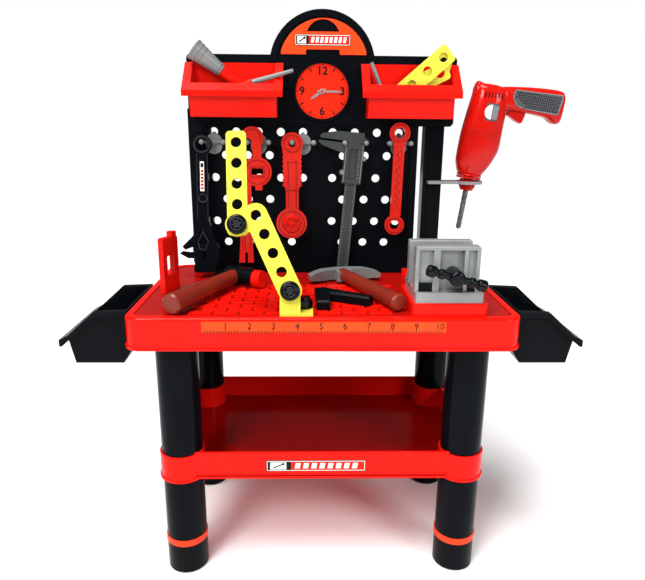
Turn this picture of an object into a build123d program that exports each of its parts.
from build123d import *
import math
import os

# Toy workbench. Millimetres, +Z up, the front of the bench faces -Y.
# Design coordinates: x = 0 on the bench's centre plane, y = 0 on the apron's front face, z = 0 floor.

# --- frame -------------------------------------------------------------------------------------
ORIGIN_X = 12.92
ORIGIN_Y = 123.6

# --- legs and shelf ----------------------------------------------------------------------------
LEG_X = 165.6
LEG_FRONT_Y = 37.1
LEG_REAR_Y = 220.0
LEG_R = 23.8
LEG_WALL = 2.5
SPIGOT_R = 21.2
FOOT_TOP = 38.0
BAND_TOP = 46.0
SHELF_MID = 142.0
COLLAR_R = 26.0
COLLAR_BORE_R = 23.9
COLLAR_BOTTOM = 126.0
COLLAR_TOP = 158.5
SHELF_HALF_W = 178.0
SHELF_FRONT_Y = 20.0
SHELF_BACK_Y = 238.0
SHELF_BOTTOM = 127.5
SHELF_TOP = 160.5

# --- worktop -----------------------------------------------------------------------------------
TOP_HALF_W = 213.9
TOP_DEPTH = 250.6
TOP_Z = 331.3
TOP_FLOOR_Z = 330.2
APRON_BOTTOM = 294.7
WALL = 3.0
BRICK_Z = 331.2
PED_X0 = 94.0
PED_X1 = 176.5
PED_Y0 = 8.5
PED_Y1 = 92.0
PED_Z = 345.0
RULER_X = 129.8
RULER_Z0 = 315.0
RULER_Z1 = 327.5

# --- back panel --------------------------------------------------------------------------------
PANEL_Y = 212.0
PANEL_T = 5.0
PANEL_LEFT = -174.5
PANEL_RIGHT_LOW = 127.5
PANEL_SHOULDER_Z = 527.0
PANEL_HALF_W = 172.8
PANEL_TOP_Z = 613.5
ARCH_Z = 599.8
ARCH_R = 67.4
PEG_HOLE_R = 5.3
PEG_ROWS = (518.5, 488.5, 459.2, 430.5, 401.0, 372.0)
UPRIGHT_W = 25.4
UPRIGHT_Y0 = 217.2
UPRIGHT_Y1 = 239.2
UPRIGHT_R_X0 = 137.3
UPRIGHT_L_X0 = -173.8
UPRIGHT_TOP = 606.0

# --- clock and sign ----------------------------------------------------------------------------
CLOCK_Z = 569.5
DIAL_R = 34.0
BEZEL_R = 37.5
HAND_BORE_R = 1.68
HAND_PIN_R = 1.6

# --- hooks -------------------------------------------------------------------------------------
HOOK_XS = (-141.5, -83.0, -24.7, 43.7, 102.0)
HOOK_Z = 503.0
PEG_Z = 505.5
PEG_HALF = 14.0
PEG_R = 2.4
BALL_R = 3.4
PEG_TIP_Y = 197.0

# --- top bins ----------------------------------------------------------------------------------
BIN_X = 111.5
BIN_RIM_HALF = 62.0
BIN_BODY_HALF = 54.0
BIN_WALL = 2.0

# --- side bins ---------------------------------------------------------------------------------
SIDE_Y = 84.0
SIDE_RIM_HALF = 59.0
SIDE_BODY_HALF = 52.0

# --- drill and its holder ----------------------------------------------------------------------
DRILL_X = 198.3
DRILL_Y = 214.0
DRILL_Z = 459.4
DRILL_TILT = 7.5
RING_BORE_R = 14.0
RING_R = 19.0
HOLDER_Z0 = 453.2
HOLDER_Z1 = 457.0
COLLAR_Z = 6.5
CHUCK_R = 10.8

# --- vise --------------------------------------------------------------------------------------
VISE_X0 = 96.5
VISE_X1 = 169.5
VISE_TRAY_Z = 356.5
VISE_TOP_Z = 406.0
VISE_PLATE_X1 = 165.5
SCREW_X = 138.0
SCREW_Z = 375.0
SCREW_R = 4.5

os.makedirs("parts", exist_ok=True)


def save(shape, node):
    """Move a finished piece from design coordinates to the shared frame and write it."""
    export_step(Pos(-ORIGIN_X, -ORIGIN_Y, 0) * shape, "parts/" + node + ".step")


def block(x0, x1, y0, y1, z0, z1):
    """Axis-aligned block between two corners."""
    return Pos((x0 + x1) / 2, (y0 + y1) / 2, (z0 + z1) / 2) * Box(x1 - x0, y1 - y0, z1 - z0)


def drum(x, y, z0, z1, r):
    """Upright cylinder."""
    return Pos(x, y, (z0 + z1) / 2) * Cylinder(r, z1 - z0)


def rod(a, b, r, r2=None):
    """Round bar, or a cone when r2 is given, from point a to point b."""
    axis = Vector(*b) - Vector(*a)
    face = Plane(origin=a, z_dir=axis)
    if r2 is None:
        return extrude(face * Circle(r), axis.length)
    return loft([face * Circle(r), Plane(origin=b, z_dir=axis) * Circle(r2)])


def front_plate(sketch, y0, y1):
    """Sketch drawn as (x, z), filled from y0 to y1."""
    return extrude(Plane.XZ.offset(-y1) * sketch, y1 - y0, dir=(0, -1, 0))


def side_plate(sketch, x0, x1):
    """Sketch drawn as (y, z), filled from x0 to x1."""
    return extrude(Plane.YZ.offset(x0) * sketch, x1 - x0, dir=(1, 0, 0))


def level_plate(sketch, z0, z1):
    """Sketch drawn as (x, y), filled from z0 to z1."""
    return extrude(Plane.XY.offset(z0) * sketch, z1 - z0, dir=(0, 0, 1))


def poly(*points):
    """Polygon with its corners where they are given."""
    return Polygon(*points, align=None)


def rect(x0, x1, z0, z1, r=0.0):
    """Rectangle between two corners, rounded when r is given."""
    at = Pos((x0 + x1) / 2, (z0 + z1) / 2)
    if r > 0:
        return at * RectangleRounded(x1 - x0, z1 - z0, r)
    return at * Rectangle(x1 - x0, z1 - z0)


def slot_v(x, z, width, height):
    """Upright slot shape with round ends."""
    return Pos(x, z) * Rot(0, 0, 90) * SlotOverall(height, width)


# --- legs --------------------------------------------------------------------------------------
LEG_SPOTS = {
    "front_left": (-LEG_X, LEG_FRONT_Y),
    "front_right": (LEG_X, LEG_FRONT_Y),
    "rear_left": (-LEG_X, LEG_REAR_Y),
    "rear_right": (LEG_X, LEG_REAR_Y),
}
caps = []
bands = []
for spot, (lx, ly) in LEG_SPOTS.items():
    # Upper leg: open tube from the shelf to the underside of the worktop.
    upper = drum(lx, ly, SHELF_MID + 0.1, 326.0, LEG_R)
    upper -= drum(lx, ly, SHELF_MID - 1, 327.0, LEG_R - LEG_WALL)
    save(upper, "upper_leg_" + spot)
    # Lower leg: tube with a narrower spigot that goes through the band into the foot cap.
    lower = drum(lx, ly, BAND_TOP, SHELF_MID - 0.1, LEG_R)
    lower += drum(lx, ly, 5.0, BAND_TOP, SPIGOT_R)
    lower -= drum(lx, ly, 4.0, SHELF_MID, SPIGOT_R - LEG_WALL)
    save(lower, "lower_leg_" + spot)
    # Foot cap: cup that the spigot stands in, with a slightly rounded toe.
    cap = drum(lx, ly, 0.0, FOOT_TOP, LEG_R + 0.3)
    cap = chamfer(cap.edges().group_by(Axis.Z)[0], 1.5)
    cap -= drum(lx, ly, 4.5, FOOT_TOP + 1, SPIGOT_R + 0.1)
    caps.append(cap)
    # Coloured band between cap and tube.
    band = drum(lx, ly, FOOT_TOP + 0.1, BAND_TOP - 0.1, LEG_R + 1.0)
    band -= drum(lx, ly, FOOT_TOP, BAND_TOP, SPIGOT_R + 0.1)
    bands.append(band)
save(Compound(caps), "foot_caps")
save(Compound(bands), "leg_bands")

# --- shelf -------------------------------------------------------------------------------------
shelf = block(-SHELF_HALF_W, SHELF_HALF_W, SHELF_FRONT_Y, SHELF_BACK_Y, SHELF_BOTTOM, SHELF_TOP)
shelf = fillet(shelf.edges().filter_by(Axis.Z), 16)
hollow = block(
    -SHELF_HALF_W + WALL, SHELF_HALF_W - WALL,
    SHELF_FRONT_Y + WALL, SHELF_BACK_Y - WALL,
    SHELF_BOTTOM + WALL, SHELF_TOP + 5,
)
hollow = fillet(hollow.edges().filter_by(Axis.Z), 13)
shelf -= hollow
# Rolled lip round the bottom of the wall.
lip = block(
    -SHELF_HALF_W - 2, SHELF_HALF_W + 2,
    SHELF_FRONT_Y - 2, SHELF_BACK_Y + 2,
    SHELF_BOTTOM, SHELF_BOTTOM + 3,
)
shelf += fillet(lip.edges().filter_by(Axis.Z), 18)
# Raised eight-sided field in the middle of the tray.
FIELD_X = 118.0
FIELD_Y0 = 62.0
FIELD_Y1 = 196.0
FIELD_CUT = 26.0
field = poly(
    (-FIELD_X + FIELD_CUT, FIELD_Y0), (FIELD_X - FIELD_CUT, FIELD_Y0),
    (FIELD_X, FIELD_Y0 + FIELD_CUT), (FIELD_X, FIELD_Y1 - FIELD_CUT),
    (FIELD_X - FIELD_CUT, FIELD_Y1), (-FIELD_X + FIELD_CUT, FIELD_Y1),
    (-FIELD_X, FIELD_Y1 - FIELD_CUT), (-FIELD_X, FIELD_Y0 + FIELD_CUT),
)
shelf += level_plate(field, SHELF_BOTTOM + WALL, SHELF_BOTTOM + WALL + 1.5)
for lx, ly in LEG_SPOTS.values():
    shelf += drum(lx, ly, COLLAR_BOTTOM, COLLAR_TOP, COLLAR_R)
    shelf += drum(lx, ly, COLLAR_BOTTOM, COLLAR_BOTTOM + 3, COLLAR_R + 1.2)
for lx, ly in LEG_SPOTS.values():
    shelf -= drum(lx, ly, COLLAR_BOTTOM - 1, SHELF_TOP + 5, COLLAR_BORE_R)
save(shelf, "shelf")

# --- worktop -----------------------------------------------------------------------------------
FRONT_CORNER_R = 18.0
BACK_CORNER_R = 28.0


def top_outline(grow):
    """Worktop outline with larger rear corners, grown outwards by grow."""
    w = TOP_HALF_W + grow
    y0 = -grow
    y1 = TOP_DEPTH + grow
    outline = poly((-w, y0), (w, y0), (w, y1), (-w, y1))
    outline = fillet(outline.vertices().group_by(Axis.Y)[0], FRONT_CORNER_R + grow)
    return fillet(outline.vertices().group_by(Axis.Y)[-1], BACK_CORNER_R + grow)


top = level_plate(top_outline(0), APRON_BOTTOM, TOP_Z)
top = fillet(top.edges().group_by(Axis.Z)[-1], 3.0)
top += level_plate(top_outline(1.5), APRON_BOTTOM, APRON_BOTTOM + 3.0)
top -= level_plate(top_outline(-WALL), APRON_BOTTOM - 1, TOP_FLOOR_Z - WALL)
top -= level_plate(top_outline(-9.0), TOP_FLOOR_Z, TOP_Z + 1)
# Sockets under the top that hold the upper legs.
for lx, ly in LEG_SPOTS.values():
    top += drum(lx, ly, APRON_BOTTOM + 3, TOP_FLOOR_Z - WALL, LEG_R + 3)
for lx, ly in LEG_SPOTS.values():
    top -= drum(lx, ly, APRON_BOTTOM - 1, 326.1, COLLAR_BORE_R)
# Staggered brick pattern in the middle of the work surface.
BRICK_L = 25.0
BRICK_W = 9.5
BRICK_PITCH_X = 28.0
BRICK_PITCH_Y = 12.5
bricks = []
for row in range(10):
    shift = 14.0 if row % 2 else 0.0
    for col in range(8):
        bx = -147.0 + shift + col * BRICK_PITCH_X
        by = 16.0 + row * BRICK_PITCH_Y
        bricks.append(block(bx, bx + BRICK_L, by, by + BRICK_W, TOP_FLOOR_Z - 0.5, BRICK_Z))
top += bricks
# Raised stand under the vise.
stand = block(PED_X0, PED_X1, PED_Y0, PED_Y1, TOP_FLOOR_Z - 1, PED_Z)
stand = fillet(stand.edges().filter_by(Axis.Z), 5)
stand = fillet(stand.edges().group_by(Axis.Z)[-1], 1.5)
top += stand
# Lugs on either side of the back panel's foot, and a slot beside the left one.
top += block(112, 122, 196, 204.8, TOP_FLOOR_Z - 1, 337.5)
top += block(-122, -98, 214.0 + 10, 236, TOP_FLOOR_Z - 1, 341)
top -= block(-178, -160, 189, 194, TOP_FLOOR_Z - 5, TOP_Z + 1)
# Shallow seat for the ruler strip in the front apron.
top -= block(-RULER_X - 0.1, RULER_X + 0.1, -1, 0.8, RULER_Z0 - 0.1, RULER_Z1 + 0.1)
save(top, "worktop")
save(block(-RULER_X, RULER_X, -0.5, 0.7, RULER_Z0, RULER_Z1), "ruler_strip")

# --- back panel --------------------------------------------------------------------------------
upper_sk = rect(-PANEL_HALF_W, PANEL_HALF_W, PANEL_SHOULDER_Z, PANEL_TOP_Z, 6)
upper_sk += Pos(0, ARCH_Z) * Circle(ARCH_R)
lower_sk = rect(PANEL_LEFT, PANEL_RIGHT_LOW, TOP_Z + 0.1, PANEL_SHOULDER_Z + 20)
panel = front_plate(upper_sk + lower_sk, PANEL_Y, PANEL_Y + PANEL_T)
# Return walls behind the edges stiffen the plate.
RETURN_Y = PANEL_Y + 13.0
panel += block(PANEL_RIGHT_LOW - 3, PANEL_RIGHT_LOW, PANEL_Y, RETURN_Y, TOP_Z + 0.1, PANEL_SHOULDER_Z)
panel += block(PANEL_HALF_W - 3, PANEL_HALF_W, PANEL_Y, RETURN_Y, PANEL_SHOULDER_Z + 6, PANEL_TOP_Z - 6)
ring = front_plate(Pos(0, ARCH_Z) * Circle(ARCH_R), PANEL_Y, RETURN_Y)
ring -= front_plate(Pos(0, ARCH_Z) * Circle(ARCH_R - 3), PANEL_Y - 1, RETURN_Y + 1)
ring = ring & block(-80, 80, PANEL_Y - 1, RETURN_Y + 1, PANEL_TOP_Z - 3, 680)
panel += ring
panel += block(-PANEL_HALF_W + 6, -64, PANEL_Y, RETURN_Y, PANEL_TOP_Z - 3, PANEL_TOP_Z)
panel += block(64, PANEL_HALF_W - 6, PANEL_Y, RETURN_Y, PANEL_TOP_Z - 3, PANEL_TOP_Z)
# Raised rim round the arch and a foot ledge along the worktop.
rim = front_plate(Pos(0, ARCH_Z) * Circle(ARCH_R), PANEL_Y - 2, PANEL_Y)
rim -= front_plate(Pos(0, ARCH_Z) * Circle(ARCH_R - 8.4), PANEL_Y - 3, PANEL_Y + 1)
rim = rim & block(-80, 80, PANEL_Y - 3, PANEL_Y + 1, 606, 680)
panel += rim
panel += block(PANEL_LEFT, PANEL_RIGHT_LOW, PANEL_Y - 6.5, PANEL_Y, TOP_Z + 0.1, TOP_Z + 8.5)
# Sunken peg fields either side of the raised spine.
FIELD_DEEP = 2.2
panel -= front_plate(rect(-155.0, -12.9, 361.0, 529.0, 10), PANEL_Y - 1, PANEL_Y + FIELD_DEEP)
panel -= front_plate(rect(5.4, 118.0, 358.0, 529.0, 10), PANEL_Y - 1, PANEL_Y + FIELD_DEEP)
# Narrow horizontal groove below each peg field.
panel -= block(-155.0, -12.9, PANEL_Y - 1, PANEL_Y + 0.8, 352.0, 353.5)
panel -= block(5.4, 118.0, PANEL_Y - 1, PANEL_Y + 0.8, 350.0, 351.5)
# Staggered through holes for pegs.
ODD_COLS = (-141.5, -112.3, -83.0, -53.9, -24.7, 14.5, 43.7, 72.9, 102.0)
EVEN_COLS = (-127.0, -98.0, -69.0, -40.0, 28.5, 57.7, 87.0)
holes = []
for i, hz in enumerate(PEG_ROWS):
    for hx in EVEN_COLS if i % 2 else ODD_COLS:
        holes.append(Pos(hx, hz) * Circle(PEG_HOLE_R))
for hole in holes:
    panel -= front_plate(hole, PANEL_Y - 2, PANEL_Y + PANEL_T + 1)
# Bezel round the clock.
bezel = front_plate(Pos(0, CLOCK_Z) * Circle(BEZEL_R), PANEL_Y - 4, PANEL_Y + 0.5)
bezel -= front_plate(Pos(0, CLOCK_Z) * Circle(DIAL_R + 0.1), PANEL_Y - 5, PANEL_Y + 1)
panel += bezel
save(panel, "back_panel")

posts = []
for ux in (UPRIGHT_L_X0, UPRIGHT_R_X0):
    post = block(ux, ux + UPRIGHT_W, UPRIGHT_Y0, UPRIGHT_Y1, TOP_Z + 0.1, UPRIGHT_TOP)
    post -= block(ux + 2, ux + UPRIGHT_W - 2, UPRIGHT_Y0 + 2, UPRIGHT_Y1 - 2, TOP_Z, UPRIGHT_TOP - 2)
    post -= block(ux + 5, ux + 7.5, UPRIGHT_Y0 - 1, UPRIGHT_Y0 + 1, TOP_Z, PANEL_SHOULDER_Z)
    posts.append(post)
save(Compound(posts), "uprights")

# --- sign, labels, clock -----------------------------------------------------------------------
SIGN_R = 57.0
sign_sk = Pos(1.5, ARCH_Z) * Circle(SIGN_R) & rect(-52.5, 55.5, 614.0, 670)
sign_sk -= rect(-21.0, 22.0, 611.0, 620.0, 2)
handle_sk = Pos(0.5, 634.0) * Circle(21.5) & rect(-30, 30, 641.0, 660)
sign_sk -= handle_sk
sign = front_plate(sign_sk, PANEL_Y - 1.6, PANEL_Y - 0.05)
save(sign, "sign_plate")
label_a = front_plate(rect(-34.8, 35.3, 624.4, 637.6, 1.5), PANEL_Y - 2.1, PANEL_Y - 1.65)
label_b = front_plate(rect(-65.5, 50.5, 136.5, 150.5, 1.5), SHELF_FRONT_Y - 0.55, SHELF_FRONT_Y - 0.05)
save(Compound([label_a, label_b]), "labels")

dial = front_plate(Pos(0, CLOCK_Z) * Circle(DIAL_R), PANEL_Y - 2.2, PANEL_Y - 0.05)
dial += front_plate(Pos(0, CLOCK_Z) * Circle(HAND_PIN_R), PANEL_Y - 5.2, PANEL_Y - 2)
save(dial, "clock_dial")


def clock_hand(length, width, tail, angle, y0):
    """Tapered hand with a round boss, pointing up before it is turned by angle."""
    sk = poly((-width / 2, -tail), (width / 2, -tail), (width / 2, length * 0.75), (0, length),
              (-width / 2, length * 0.75))
    sk += Circle(3.4)
    sk -= Circle(HAND_BORE_R)
    sk = Pos(0, CLOCK_Z) * Rot(0, 0, angle) * sk
    return front_plate(sk, y0, y0 + 0.8)


save(clock_hand(18.5, 3.0, 5.0, 123.0, PANEL_Y - 3.3), "hour_hand")
save(clock_hand(27.0, 2.4, 6.0, -91.0, PANEL_Y - 4.4), "minute_hand")

# --- hooks -------------------------------------------------------------------------------------
hooks = []
for hx in HOOK_XS:
    y_face = PANEL_Y + FIELD_DEEP
    hook = front_plate(slot_v(hx, HOOK_Z, 21, 27), y_face - 3.0, y_face - 0.05)
    hook += block(hx - PEG_HALF, hx + PEG_HALF, y_face - 6.5, y_face - 2.5, PEG_Z - 2, PEG_Z + 2)
    for sx in (-1, 1):
        px = hx + sx * PEG_HALF
        hook += rod((px, y_face - 2.5, PEG_Z), (px, PEG_TIP_Y, PEG_Z), PEG_R)
        hook += Pos(px, PEG_TIP_Y, PEG_Z) * Sphere(BALL_R)
    hook += rod((hx, y_face - 1, 515.9), (hx, PANEL_Y + 8, 515.9), 2.4)
    hooks.append(hook)
save(Compound(hooks), "peg_hooks")

# --- top bins ----------------------------------------------------------------------------------
BIN_BACK = PANEL_Y - 0.2
BIN_FRONT = 172.0
BIN_BOTTOM = 536.5
BIN_BACK_TOP = 603.0
BIN_LIP_TOP = 567.8
BIN_LIP_BOTTOM = 560.8


def top_bin(cx):
    """Open bin with a sloping picture-frame rim and a turned-down front lip."""
    body_sk = poly((BIN_BACK, BIN_BOTTOM), (184.0, BIN_BOTTOM), (179.0, 562.0), (179.0, 572.0),
                   (BIN_BACK, BIN_BACK_TOP - 2))
    inner_sk = poly((BIN_BACK - BIN_WALL, BIN_BOTTOM + BIN_WALL), (184.0 + BIN_WALL, BIN_BOTTOM + BIN_WALL),
                    (179.0 + BIN_WALL, 562.0), (179.0 + BIN_WALL, 620.0), (BIN_BACK - BIN_WALL, 620.0))
    rim_sk = poly((BIN_BACK, BIN_BACK_TOP), (207.0, BIN_BACK_TOP), (BIN_FRONT, BIN_LIP_TOP),
                  (BIN_FRONT, BIN_LIP_BOTTOM), (BIN_FRONT + 2.2, BIN_LIP_BOTTOM),
                  (BIN_FRONT + 2.2, BIN_LIP_TOP - 2.2), (BIN_BACK, BIN_BACK_TOP - 3.2))
    shape = side_plate(body_sk, cx - BIN_BODY_HALF, cx + BIN_BODY_HALF)
    shape += side_plate(rim_sk, cx - BIN_RIM_HALF, cx + BIN_RIM_HALF)
    shape -= side_plate(inner_sk, cx - BIN_BODY_HALF + BIN_WALL, cx + BIN_BODY_HALF - BIN_WALL)
    return shape


save(top_bin(-BIN_X), "bin_top_left")
save(top_bin(BIN_X), "bin_top_right")

# --- side bins ---------------------------------------------------------------------------------


def side_bin(sign_x):
    """Open bin that hangs beside the worktop; drawn for the right side, mirrored for the left."""
    x0 = TOP_HALF_W + 1.7
    body_sk = poly((x0, 329.0), (252.0, 326.0), (284.0, 299.0), (277.5, 268.0), (224.0, 268.0), (x0, 281.0))
    inner_sk = poly((x0 + 2.2, 340.0), (281.5, 340.0), (281.5, 299.0), (275.7, 270.2), (225.0, 270.2),
                    (x0 + 2.2, 282.0))
    rim_sk = poly((x0, 330.5), (252.0, 329.0), (281.0, 303.0), (291.5, 297.5), (291.5, 290.0), (288.6, 290.0),
                  (288.6, 293.5), (278.0, 298.0), (250.0, 323.5), (x0, 325.0))
    shape = front_plate(body_sk, SIDE_Y - SIDE_BODY_HALF, SIDE_Y + SIDE_BODY_HALF)
    shape += front_plate(rim_sk, SIDE_Y - SIDE_RIM_HALF, SIDE_Y + SIDE_RIM_HALF)
    shape -= front_plate(inner_sk, SIDE_Y - SIDE_BODY_HALF + 2.2, SIDE_Y + SIDE_BODY_HALF - 2.2)
    if sign_x < 0:
        shape = mirror(shape, Plane.YZ)
    return shape


save(side_bin(-1), "bin_side_left")
save(side_bin(1), "bin_side_right")

# --- drill holder ------------------------------------------------------------------------------
holder_sk = rect(142.5, 199.0, 203.0, 217.0, 1.5)
holder_sk += rect(163.0, 190.0, 203.0, 227.0, 1.5)
holder_sk += Pos(DRILL_X, DRILL_Y) * Circle(RING_R)
holder_sk -= Pos(DRILL_X, DRILL_Y) * Circle(RING_BORE_R)
save(level_plate(holder_sk, HOLDER_Z0, HOLDER_Z1), "drill_holder")

# --- drill: drawn nose down on its own axis, then tilted ---------------------------------------
DRILL_AT = Pos(DRILL_X, DRILL_Y, DRILL_Z) * Rot(0, DRILL_TILT, 0)
HALF_BODY = 19.0
HALF_GRIP = 13.5
body_sk = poly(
    (-15.4, COLLAR_Z), (-20.0, 12.0), (-21.8, 24.0), (-21.8, 48.0), (-19.8, 80.0), (-16.3, 108.5),
    (-15.6, 120.0), (-12.6, 125.4), (-6.0, 122.8), (2.9, 119.8), (26.0, 120.0), (31.0, 112.0),
    (31.6, 93.0), (31.2, 60.0), (31.6, 43.0), (28.1, 30.7), (23.2, 19.8), (15.4, 8.8), (15.4, COLLAR_Z),
)
grip_sk = poly(
    (2.9, 119.8), (24.7, 124.1), (60.0, 127.0), (93.6, 128.1), (101.5, 126.0), (104.4, 119.0),
    (101.8, 88.0), (98.5, 84.5), (94.0, 85.5), (87.0, 91.5), (80.0, 92.6), (31.0, 93.6), (10.0, 95.0),
)
pad_sk = poly((35.0, 119.5), (97.0, 121.0), (97.5, 117.0), (94.8, 96.5), (91.5, 97.0), (50.0, 98.5),
              (40.0, 101.0), (34.0, 108.0), (33.0, 114.0))
TRIGGER_X0 = 34.0
TRIGGER_X1 = 56.0


def drill_half():
    """One moulded half of the drill, hollow, with a recess for the grip pad."""
    shape = front_plate(body_sk, -HALF_BODY, 0)
    shape = shape & level_plate(Pos(5.0, 0) * RectangleRounded(54.0, 2 * HALF_BODY, 15.0), 0, 140)
    grip = front_plate(grip_sk, -HALF_GRIP, 0)
    grip = grip & side_plate(Pos(0, 106.5) * RectangleRounded(2 * HALF_GRIP, 46.0, 7.0), 0, 120)
    shape += grip
    shape += drum(0, 0, 0.0, COLLAR_Z + 2, 15.6) & block(-20, 20, -20, 0, -1, 20)
    # Hollow for the motor space and the chuck's bearing.
    shape -= front_plate(rect(-13.0, 22.0, 34.0, 104.0, 6), -HALF_BODY + 5, 1)
    shape -= drum(0, 0, -1, 30.0, 6.2)
    shape -= drum(0, 0, 14.0, 26.0, 9.2)
    # Seat for the pad and a channel for the trigger.
    shape -= front_plate(pad_sk, -HALF_GRIP - 1, -HALF_GRIP + 1.0)
    shape -= block(TRIGGER_X0 - 0.6, TRIGGER_X1 + 0.6, -5.6, 1, 88.0, 104.6)
    # Window for the side panel and vents near the back.
    shape -= front_plate(rect(0.0, 17.0, 77.0, 99.0, 3), -HALF_BODY - 1, -HALF_BODY + 1.0)
    for i in range(6):
        shape -= block(-4.0 + i * 4.2, -2.0 + i * 4.2, -HALF_BODY - 1, -HALF_BODY + 1.2, 106.5, 113.0)
    return shape


half = drill_half()
save(DRILL_AT * Pos(0, -0.02, 0) * half, "drill_shell_front")
save(DRILL_AT * Pos(0, 0.02, 0) * mirror(half, Plane.XZ), "drill_shell_rear")
pads = []
inserts = []
for s in (-1, 1):
    pad = front_plate(pad_sk, -HALF_GRIP - 0.4, -HALF_GRIP + 0.9)
    insert = front_plate(rect(0.2, 16.8, 77.2, 98.8, 2.8), -HALF_BODY + 0.1, -HALF_BODY + 0.9)
    if s > 0:
        pad = mirror(pad, Plane.XZ)
        insert = mirror(insert, Plane.XZ)
    pads.append(DRILL_AT * Pos(0, 0.02 * s, 0) * pad)
    inserts.append(DRILL_AT * Pos(0, 0.02 * s, 0) * insert)
save(Compound(pads + inserts), "drill_pads")
trigger = front_plate(
    poly((TRIGGER_X0, 88.0), (TRIGGER_X0 + 12, 82.0), (TRIGGER_X0 + 18, 80.0), (TRIGGER_X1 - 2, 82.0),
         (TRIGGER_X1, 90.0), (TRIGGER_X1, 96.0), (TRIGGER_X0, 96.0)),
    -5.0, 5.0,
)
save(DRILL_AT * trigger, "drill_trigger")
chuck = rod((0, 0, -15.0), (0, 0, -10.0), 8.0, CHUCK_R)
chuck += drum(0, 0, -10.0, -0.4, CHUCK_R)
chuck += drum(0, 0, -0.5, 28.0, 6.1)
chuck += drum(0, 0, 15.0, 25.0, 9.0)
for i in range(8):
    a = math.radians(i * 45)
    chuck -= drum(CHUCK_R * math.cos(a), CHUCK_R * math.sin(a), -10.0, -2.0, 0.9)
chuck -= drum(0, 0, -16.0, 2.0, 3.55)
save(DRILL_AT * chuck, "drill_chuck")
bit = drum(0, 0, -68.0, 1.5, 3.5)
bit = chamfer(bit.edges().group_by(Axis.Z)[0], 1.6)
flute = Rectangle(2.2, 2.2)
for side in (0, 180):
    path = Helix(pitch=18, height=44, radius=3.9)
    start = Plane(origin=path @ 0, z_dir=path % 0)
    cut = sweep(start * flute, path=path)
    bit -= Pos(0, 0, -66.0) * Rot(0, 0, side) * cut
save(DRILL_AT * bit, "drill_bit")

# --- adjustable wrench: drawn hanging from its ring, leaning forward at the foot -----------------
WRENCH_AT = Pos(-155.5, 201.6, 502.0) * Rot(-9.0, 0, 0)
w_sk = Circle(12.5)
w_sk += rect(-8.0, 8.0, -106.0, -8.0)
w_sk += poly(
    (-8.5, -100.0), (8.5, -100.0), (14.0, -118.0), (20.5, -133.0), (21.5, -143.0), (18.0, -156.0),
    (11.0, -166.5), (-8.0, -166.5), (-13.0, -150.0), (-14.0, -131.0), (-13.0, -121.0), (-11.0, -110.0),
)
w_sk += poly(
    (-9.0, -100.0), (-13.5, -118.0), (-27.5, -132.0),
    (-24.0, -136.5), (-10.0, -131.0), (0.0, -118.0),
)
w_sk -= Circle(7.5)
wrench = front_plate(w_sk, -3.0, 3.0)
wrench += front_plate(rect(-4.5, 4.5, -62.0, -20.0, 1.5), -3.7, -3.0)
# Window that the worm and the movable jaw run in.
wrench -= front_plate(rect(-5.8, 6.2, -129.0, -113.0, 1), -4.0, 4.0)
WRENCH_SLOT = rect(-30.0, 4.0, -148.0, -139.0)
wrench -= front_plate(WRENCH_SLOT, -4.0, 4.0)
save(WRENCH_AT * wrench, "wrench_body")
jaw_sk = rect(-16.0, -2.5, -147.6, -139.4)
jaw_sk += poly(
    (-16.0, -139.4), (-16.0, -147.6), (-20.0, -147.6),
    (-31.0, -141.5), (-27.5, -138.2), (-20.0, -139.4),
)
save(WRENCH_AT * front_plate(jaw_sk, -2.8, 2.8), "wrench_jaw")

# --- hung tools --------------------------------------------------------------------------------
# Ratchet handle with a disc head.
RATCHET_AT = Pos(-38.7, 201.5, 504.5)
r_sk = Circle(14.0)
r_sk += rect(-12.5, 12.5, -55.0, 0.0)
r_sk += Pos(0, -49) * Circle(12.5)
r_sk += rect(-8.5, 8.5, -100.0, -50.0)
r_sk += Pos(-1.0, -104.5) * Circle(20.5)
for i in range(7):
    r_sk -= Pos(13.2, -14.0 - i * 6.0) * Circle(1.8)
    r_sk -= Pos(-13.2, -14.0 - i * 6.0) * Circle(1.8)
r_sk -= Circle(4.6)
ratchet = front_plate(r_sk, -3.0, 3.0)
ratchet -= front_plate(Pos(-1.0, -104.5) * Circle(13.0), -4.0, -0.5)
ratchet -= front_plate(Pos(-1.0, -104.5) * Circle(4.4), -1.0, 4.0)
save(RATCHET_AT * ratchet, "ratchet_handle")
knob = front_plate(Pos(-1.0, -104.5) * Circle(12.6), -4.2, -0.7)
knob = chamfer(knob.edges().group_by(Axis.Y)[0], 1.0)
knob += front_plate(Pos(-1.0, -104.5) * Circle(4.34), -1.0, 3.0)
knob -= front_plate(Pos(-1.0, -104.5) * Rot(0, 0, 35) * SlotOverall(20, 3.5), -5.0, -3.2)
save(RATCHET_AT * knob, "ratchet_knob")

# Multi-tool: hooked head, disc with a window, flat blade with a forked end.
MULTI_AT = Pos(-84.5, 201.5, 467.9)
m_sk = Pos(0, 0) * Circle(19.0)
m_sk += rect(-5.5, 5.5, 10.0, 45.0)
m_sk += Pos(-6.0, 43.0) * Circle(14.5)
m_sk += poly((-27.0, -122.0), (-7.0, -122.0), (-9.0, -60.0), (-8.0, -10.0), (-18.0, -4.0), (-22.0, -60.0))
m_sk += rect(-3.0, 6.5, -24.0, -15.0, 1)
m_sk -= Pos(-12.5, 36.5) * Circle(6.3)
m_sk -= poly((-12.5, 30.4), (-6.6, 30.4), (-6.6, 36.5), (-12.5, 36.5))
m_sk -= poly((-23.0, 20.0), (-9.0, 20.0), (-7.0, 33.0), (-23.0, 33.0))
m_sk -= rect(-7.5, 7.5, -4.0, 4.5, 1)
m_sk -= rect(-18.5, -15.0, -125.0, -108.0)
save(MULTI_AT * front_plate(m_sk, -3.0, 3.0), "multi_tool")

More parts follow.
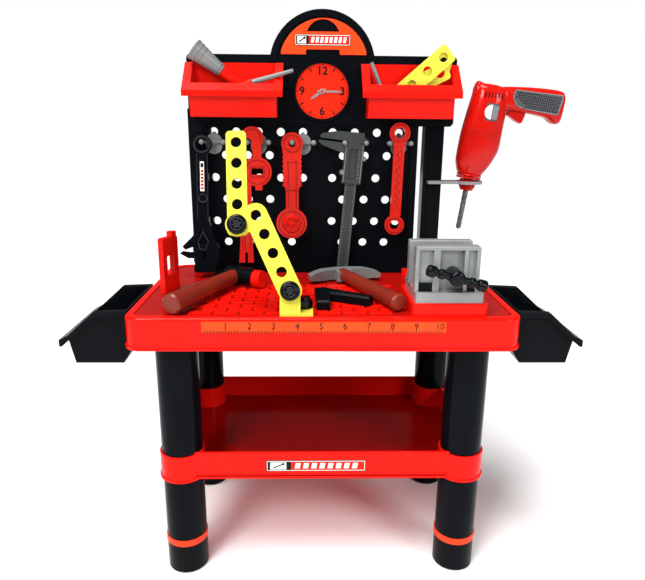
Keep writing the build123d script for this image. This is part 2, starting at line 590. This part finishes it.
# Caliper: beam with the fixed jaws, and a slider that runs along it; the beam hangs leaning.
CALIPER_AT = Pos(43.4, 202.0, 512.0) * Rot(0, 4.6, 0)
TIP_SPOTS = ((-13.1, -7.6), (14.8, -5.4))
BEAM_HALF = 7.6
beam_sk = rect(-BEAM_HALF, BEAM_HALF, -176.0, 4.0)
beam_sk += poly(
    (-46.0, -1.0), (-43.0, 2.5), (-22.0, 7.0), (12.0, 7.0), (12.0, 2.0),
    (19.0, -2.5), (16.5, -4.6), (-8.0, -4.6), (-44.0, -3.4),
)
beam = front_plate(beam_sk, -1.5, 1.5)
beam -= front_plate(rect(-3.0, 3.0, -174.0, -8.0), -2.0, -1.1)
for tx, tz in TIP_SPOTS:
    beam -= front_plate(Pos(tx, tz) * Circle(3.8), -4.0, 4.0)
save(CALIPER_AT * beam, "caliper_beam")
slider_sk = rect(-12.5, 13.0, -59.0, -7.4)
slider_sk += poly((-12.0, -7.4), (-46.5, -6.0), (-47.5, -8.0), (-42.0, -12.5), (-12.0, -21.0))
slider_sk += Pos(14.0, -26.0) * Circle(3.2)
slider_sk += Pos(-13.0, -45.0) * Circle(4.0)
slider = front_plate(slider_sk, -3.6, 3.0)
slider -= front_plate(rect(-BEAM_HALF - 0.08, BEAM_HALF + 0.08, -70.0, 1.0), -1.6, 1.6)
slider -= front_plate(rect(-5.4, 5.2, -53.0, -14.0, 1), -4.0, -1.5)
for tx, tz in TIP_SPOTS:
    slider -= front_plate(Pos(tx, tz) * Circle(3.8) + rect(tx - 3.8, tx + 3.8, tz, 0.0), -4.0, 4.0)
save(CALIPER_AT * slider, "caliper_slider")

# Double ring spanner resting on both tips of the last hook.
SPANNER_AT = Pos(101.4, 201.5, 518.5) * Rot(0, 1.0, 0)
s_sk = Circle(13.4)
s_sk += rect(-7.0, 7.0, -108.0, -10.0)
s_sk += Pos(-0.5, -120.0) * Circle(13.0)
s_sk -= RegularPolygon(7.4, 6)
s_sk -= Pos(-0.5, -120.0) * RegularPolygon(6.8, 6)
spanner = front_plate(s_sk, -3.0, 3.0)
spanner -= front_plate(rect(-4.2, 4.2, -104.0, -16.0, 2), -4.0, -2.0)
save(SPANNER_AT * spanner, "ring_spanner")

# --- yellow construction strips on the worktop -------------------------------------------------
STRIP_T = 3.4
HOLE_PITCH = 22.0
STRIP_HALF = 12.6
STRIP_HOLE_R = 5.7
LEAN = 15.5
BRACKET_Z = TOP_Z + 0.05
BOLT_AT = Pos(-36.4, 13.0, 357.8) * Rot(-LEAN, 0, 0)


def strip(count, half, holes_at):
    """Flat bar with round ends along +Z' from the origin, with holes at whole pitches."""
    length = (count - 1) * HOLE_PITCH
    sk = Pos(0, length / 2) * Rot(0, 0, 90) * SlotOverall(length + 2 * half, 2 * half)
    for k in holes_at:
        sk -= Pos(0, k * HOLE_PITCH) * Circle(STRIP_HOLE_R)
    return sk


SWING = 24.5
BOLT_R = 5.62
angled_sk = Rot(0, 0, SWING) * strip(5, STRIP_HALF, (0, 1, 2, 3, 4))
corner = (-4 * HOLE_PITCH * math.sin(math.radians(SWING)), 4 * HOLE_PITCH * math.cos(math.radians(SWING)))
leg_sk = Pos(*corner) * Rot(0, 0, SWING + 93.0) * strip(2, STRIP_HALF, (1,))
leg_sk -= Pos(*corner) * Circle(STRIP_HOLE_R)
angled_sk += leg_sk
angled_sk -= Pos(*corner) * Circle(STRIP_HOLE_R)
leg_angle = math.radians(SWING + 93.0)
top_bolt = (corner[0] - HOLE_PITCH * math.sin(leg_angle), corner[1] + HOLE_PITCH * math.cos(leg_angle))
save(BOLT_AT * front_plate(angled_sk, -STRIP_T, 0), "strip_angled")
straight_sk = rect(-10.7, 10.7, -11.3, 4 * HOLE_PITCH + 11.8, 4.5)
for k in range(5):
    straight_sk -= Pos(0, k * HOLE_PITCH) * Circle(STRIP_HOLE_R)
straight_sk = Pos(*top_bolt) * Rot(0, 0, 1.3) * straight_sk
save(BOLT_AT * front_plate(straight_sk, 0.3, 0.3 + STRIP_T), "strip_straight")


def bolt_and_nut(x, z, y_head, y_nut):
    """Round-headed bolt along Y with a separate nut, heads drawn at the given faces."""
    bolt = front_plate(Pos(x, z) * Circle(10.6), y_head - 6.0, y_head)
    bolt = fillet(bolt.edges().group_by(Axis.Y)[0], 3.0)
    bolt += front_plate(Pos(x, z) * Circle(BOLT_R), y_head - 1, y_nut + 9.0)
    nut = front_plate(Pos(x, z) * RegularPolygon(9.5, 6), y_nut, y_nut + 7.0)
    nut -= front_plate(Pos(x, z) * Circle(BOLT_R + 0.05), y_nut - 1, y_nut + 8.0)
    return [bolt, nut]


FOOT_BOLT_X = -20.6
FOOT_BOLT_Y = 27.2
FOOT_BOLT_Z = TOP_Z + 0.1
foot_bolt = drum(FOOT_BOLT_X, FOOT_BOLT_Y, FOOT_BOLT_Z, FOOT_BOLT_Z + 16.0, BOLT_R)
foot_nut = level_plate(
    Pos(FOOT_BOLT_X, FOOT_BOLT_Y) * (RegularPolygon(8.4, 6) - Circle(BOLT_R + 0.05)),
    FOOT_BOLT_Z + STRIP_T + 0.1, FOOT_BOLT_Z + STRIP_T + 9.0,
)
lower_set = [BOLT_AT * piece for piece in bolt_and_nut(0, 0, -STRIP_T - 0.3, 0.3 + STRIP_T + 0.3)]
save(Compound(lower_set + [foot_bolt, foot_nut]), "fastener_lower")
save(BOLT_AT * Compound(bolt_and_nut(*top_bolt, -STRIP_T - 0.3, 0.3 + STRIP_T + 0.3)), "fastener_upper")
# Angle bracket: the front plate leans with the strips, the foot lies on the worktop.
plate_sk = rect(-11.0, 11.0, -25.0, 0.0)
plate_sk += Circle(11.0)
plate_sk -= Circle(STRIP_HOLE_R)
bracket = BOLT_AT * front_plate(plate_sk, 0.3, 0.3 + STRIP_T)
bracket = bracket & block(-60, 0, -30, 60, BRACKET_Z, 400)
bracket += block(-47.4, -12.0, 6.4, 36.0, BRACKET_Z, BRACKET_Z + STRIP_T)
bracket -= drum(FOOT_BOLT_X, FOOT_BOLT_Y, BRACKET_Z - 1, BRACKET_Z + 6, STRIP_HOLE_R)
save(bracket, "strip_bracket")

# --- tools lying on the worktop ----------------------------------------------------------------
REST_Z = TOP_Z + 0.05
# Hammer.
H_END = (-163.5, 9.5, REST_Z + 12.0)
H_NECK = (-111.0, 128.0, REST_Z + 13.0)
handle = rod(H_END, H_NECK, 11.8, 8.8)
handle = chamfer(handle.edges().filter_by(GeomType.CIRCLE).sort_by(Axis.Y)[0], 2.0)
H_DIR = (0.914, -0.405)
H_C = (-108.0, 134.0)
head = rod((H_C[0] - 25 * H_DIR[0], H_C[1] - 25 * H_DIR[1], REST_Z + 13.0),
           (H_C[0] + 26 * H_DIR[0], H_C[1] + 26 * H_DIR[1], REST_Z + 13.0), 11.0)
head -= rod(H_END, (-108.0, 134.7, REST_Z + 13.05), 11.8, 8.8)
claw = Pos(H_C[0], H_C[1], REST_Z + 13.0) * Rot(0, 0, math.degrees(math.atan2(H_DIR[1], H_DIR[0])))
head -= claw * block(-26.0, -12.0, -12.0, 12.0, 3.5, 12.0)
head -= claw * block(-26.0, -14.0, -2.0, 2.0, -12.0, 12.0)
save(handle, "hammer_handle")
save(head, "hammer_head")
face = rod((H_C[0] + 26.1 * H_DIR[0], H_C[1] + 26.1 * H_DIR[1], REST_Z + 11.5),
           (H_C[0] + 37 * H_DIR[0], H_C[1] + 37 * H_DIR[1], REST_Z + 11.5), 10.8)
save(face, "hammer_cap")

# Pickaxe.
P_HUB = (27.5, 158.0)
P_END = (82.5, 24.0)
P_Z = REST_Z + 10.0
shaft = rod((P_END[0], P_END[1], P_Z), (P_HUB[0], P_HUB[1], P_Z - 1.0), 9.8, 8.0)
shaft = chamfer(shaft.edges().filter_by(GeomType.CIRCLE).sort_by(Axis.Y)[0], 2.0)
PICK_TURN = 14.0
pick_sk = Pos(0, -62.0) * Circle(83.0) - Pos(0, -72.0) * Circle(78.0)
pick_sk = pick_sk & rect(-47.0, 47.0, -20.0, 40.0)
pick_sk += rect(-11.0, 11.0, -9.0, 21.0, 3)
pick = level_plate(pick_sk, 0.0, 13.0) & front_plate(Pos(0, 6.5) * Ellipse(50.0, 7.8), -60.0, 60.0)
pick = Pos(P_HUB[0] + 2.0, P_HUB[1] - 2.0, REST_Z + 1.5) * Rot(0, 0, PICK_TURN) * pick
pick -= rod((P_END[0], P_END[1], P_Z), (P_HUB[0], P_HUB[1], P_Z - 1.0), 9.8, 8.0)
pick -= rod((P_END[0], P_END[1], P_Z), (P_HUB[0] - 0.4, P_HUB[1] + 1.0, P_Z - 1.0), 6.0)
save(shaft, "pickaxe_handle")
save(pick, "pickaxe_head")

# Angled black key.
key_sk = poly((-10.0, 84.0), (1.0, 88.0), (57.0, 53.0), (51.0, 42.0), (9.0, 63.0), (7.0, 29.0), (-8.0, 29.0))
key = level_plate(key_sk, REST_Z, REST_Z + 11.0)
key = chamfer(key.edges().group_by(Axis.Z)[-1], 2.0)
save(key, "angle_key")

# Red tool rest: upright plate with a window and a peg on top.
REST_AT = Pos(-191.0, 94.0, 0) * Rot(0, 0, 64.5)
rest_sk = rect(0.0, 28.0, REST_Z, 398.0, 3)
rest_sk += rect(17.0, 26.0, 390.0, 404.0, 1)
rest_sk += rect(0.0, 28.0, REST_Z, 345.0)
rest_sk -= rect(7.0, 20.0, 352.0, 376.0, 2)
save(REST_AT * front_plate(rest_sk, -3.5, 3.5), "tool_rest")

# --- vise --------------------------------------------------------------------------------------
tray = block(VISE_X0 + 1, VISE_X1 + 1.5, 11.0, 84.0, PED_Z + 0.05, VISE_TRAY_Z)
tray = fillet(tray.edges().filter_by(Axis.Z), 2.5)
front = block(VISE_X0, VISE_PLATE_X1, 15.0, 29.0, VISE_TRAY_Z - 1, VISE_TOP_Z)
front = chamfer(front.edges().group_by(Axis.Z)[-1], 1.2)
# Side pockets and the deeper centre channel of the front plate.
POCKET_Z0 = VISE_TRAY_Z
front -= block(VISE_X0 + 4, VISE_X0 + 19, 14.0, 19.0, POCKET_Z0, VISE_TOP_Z - 4)
front -= block(VISE_X0 + 26, VISE_X0 + 52, 14.0, 22.0, POCKET_Z0, VISE_TOP_Z - 4)
front -= block(VISE_X0 + 56, VISE_PLATE_X1 - 4, 14.0, 19.0, POCKET_Z0, VISE_TOP_Z - 4)
for i in range(6):
    gz = 362.0 + i * 7.0
    front -= block(VISE_X0 + 6, VISE_PLATE_X1 - 6, 28.2, 30.0, gz, gz + 1.5)
base = tray + front
base -= rod((SCREW_X, 10.0, SCREW_Z), (SCREW_X, 32.0, SCREW_Z), SCREW_R + 0.08)
# Guide channel along the tray for the moving jaw's tongue.
base -= block(SCREW_X - 7.2, SCREW_X + 7.2, 31.0, 85.0, VISE_TRAY_Z - 4.0, VISE_TRAY_Z + 0.02)
save(base, "vise_base")
jaw = block(VISE_X0 - 1, VISE_PLATE_X1, 50.0, 62.0, VISE_TRAY_Z + 0.3, VISE_TOP_Z)
jaw = chamfer(jaw.edges().group_by(Axis.Z)[-1], 1.2)
for gx in (VISE_X0 + 4, VISE_PLATE_X1 - 8):
    gusset = poly((61.0, VISE_TRAY_Z + 0.3), (74.0, VISE_TRAY_Z + 0.3), (61.0, 392.0))
    jaw += side_plate(gusset, gx, gx + 4)
jaw += block(SCREW_X - 7.0, SCREW_X + 7.0, 51.0, 61.0, VISE_TRAY_Z - 3.7, VISE_TRAY_Z + 1)
for i in range(6):
    gz = 362.0 + i * 7.0
    jaw -= block(VISE_X0 + 6, VISE_PLATE_X1 - 6, 49.0, 50.8, gz, gz + 1.5)
jaw -= rod((SCREW_X, 40.0, SCREW_Z), (SCREW_X, 70.0, SCREW_Z), SCREW_R + 0.08)
save(jaw, "vise_jaw")
# Screw held in the front plate by its hub and a collar behind the plate.
BAR_TILT = 16.0
BAR_Y = 1.6
screw = rod((SCREW_X, BAR_Y - 6.5, SCREW_Z), (SCREW_X, 21.9, SCREW_Z), 8.6)
screw = fillet(screw.edges().sort_by(Axis.Y)[0], 4.0)
screw += rod((SCREW_X, 20.0, SCREW_Z), (SCREW_X, 82.0, SCREW_Z), SCREW_R)
screw += rod((SCREW_X, 29.1, SCREW_Z), (SCREW_X, 30.6, SCREW_Z), 6.5)
bar = rod((-29.0, 0, 0), (29.0, 0, 0), 4.0)
for s in (-1, 1):
    for middle, half, radius, round_r in ((17.0, 3.6, 5.6, 2.2), (28.0, 5.6, 6.4, 3.4)):
        bulb = rod((s * (middle - half), 0, 0), (s * (middle + half), 0, 0), radius)
        bar += fillet(bulb.edges().filter_by(GeomType.CIRCLE), round_r)
screw += Pos(SCREW_X, BAR_Y, SCREW_Z) * Rot(0, BAR_TILT, 0) * bar
save(screw, "vise_screw")
# Black slides in the foot of the front plate's side pockets.
slides = [
    block(VISE_X0 + 4.1, VISE_X0 + 18.9, 15.5, 18.95, POCKET_Z0 + 0.05, POCKET_Z0 + 9.5),
    block(VISE_X0 + 56.1, VISE_PLATE_X1 - 4.1, 15.5, 18.95, POCKET_Z0 + 0.05, POCKET_Z0 + 9.5),
]
save(Compound(slides), "vise_slides")

# --- what stands in the top bins ---------------------------------------------------------------
T_TOP = (-160.0, 197.0, 617.5)
T_MID = (-126.5, 199.5, 592.0)
T_LOW = (-86.0, 202.4, 561.0)
DRIVER_TIP = (-36.5, 185.0, 592.5)
DRIVER_MID = (-87.0, 187.6, 578.5)
DRIVER_LOW = (-138.0, 188.2, 558.0)


def past(a, b, gap):
    """Point a little past a on the way to b."""
    step = Vector(*b) - Vector(*a)
    return tuple(Vector(*a) + step * (gap / step.length))


save(Compound([rod(T_TOP, T_MID, 13.0, 7.2), rod(DRIVER_TIP, DRIVER_MID, 2.2, 3.4)]), "bin_tool_heads")
grips = [rod(past(T_MID, T_LOW, 0.8), T_LOW, 7.0)]
grips.append(rod(past(DRIVER_MID, DRIVER_LOW, 0.5), DRIVER_LOW, 5.4))
save(Compound(grips), "bin_tool_grips")

LOOSE_PITCH = 25.0
right_a = rect(-12.0, 12.0, -12.0, 3 * LOOSE_PITCH + 11.0, 4.0)
for k in range(4):
    right_a -= Pos(0, k * LOOSE_PITCH) * Circle(STRIP_HOLE_R)
right_a = Pos(93.0, 561.0) * Rot(0, 0, -49.0) * right_a
strip_a = front_plate(right_a, 187.6, 191.0)
right_b = rect(-11.0, 11.0, -11.0, 2 * LOOSE_PITCH + 11.0, 4.0)
right_b += Pos(0, 2 * LOOSE_PITCH) * Rot(0, 0, 48.0) * rect(-10.5, 10.5, -8.0, 24.0, 4.0)
for k in range(3):
    right_b -= Pos(0, k * LOOSE_PITCH) * Circle(STRIP_HOLE_R)
right_b -= Pos(0, 2 * LOOSE_PITCH) * Rot(0, 0, 48.0) * Pos(0, 14.5) * Circle(5.0)
right_b = Pos(103.0, 569.0) * Rot(0, 0, -63.0) * right_b
strip_b = front_plate(right_b, 192.0, 195.4)
save(Compound([strip_a, strip_b]), "loose_strips")
save(rod((61.5, 200.0, 604.0), (84.0, 200.0, 553.0), 2.6), "punch")
